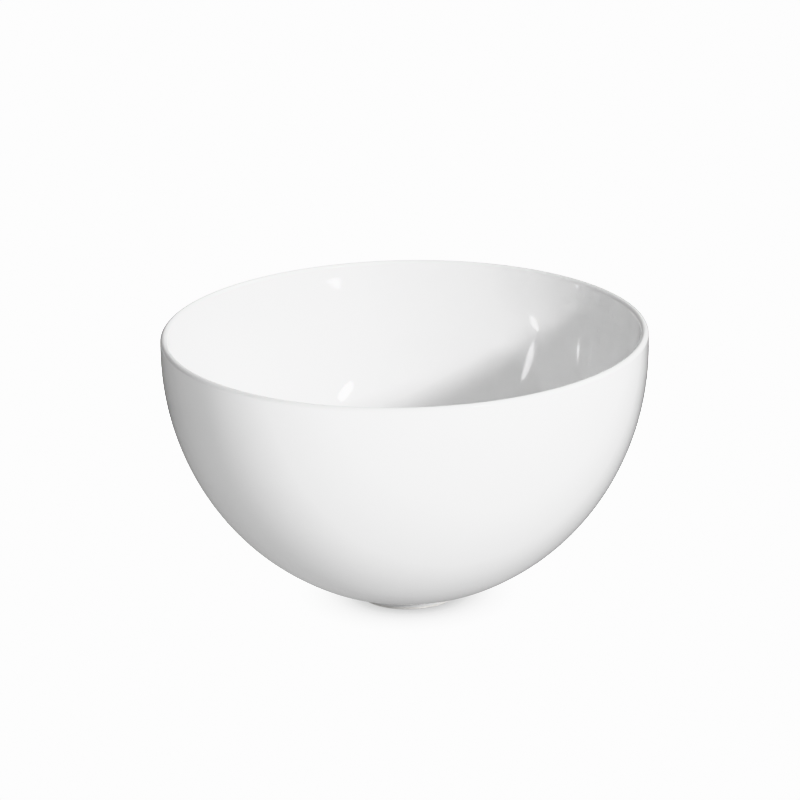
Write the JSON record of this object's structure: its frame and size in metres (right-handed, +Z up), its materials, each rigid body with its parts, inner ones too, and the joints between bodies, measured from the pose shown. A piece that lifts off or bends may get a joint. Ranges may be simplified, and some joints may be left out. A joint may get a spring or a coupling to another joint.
{
  "type": "porcelain dish",
  "caption": "Deep round-bottomed porcelain dish with a rounded rim, a low bare foot ring and a glossy white glaze, for holding and evaporating liquids.",
  "frame": {"origin": "centre of the foot ring on the plane that the dish stands on", "axes": "+Z up along the dish's axis of revolution, out of its mouth"},
  "size_m": [0.12, 0.12, 0.069],
  "materials": {
    "bare_porcelain": "matt, fine-grained, unglazed",
    "glaze": "glossy white glaze"
  },
  "bodies": {
    "root": {"porcelain_body": "bare_porcelain", "glaze_coat": "glaze", "foot_recess_glaze": "glaze"}
  },
  "joints": []
}
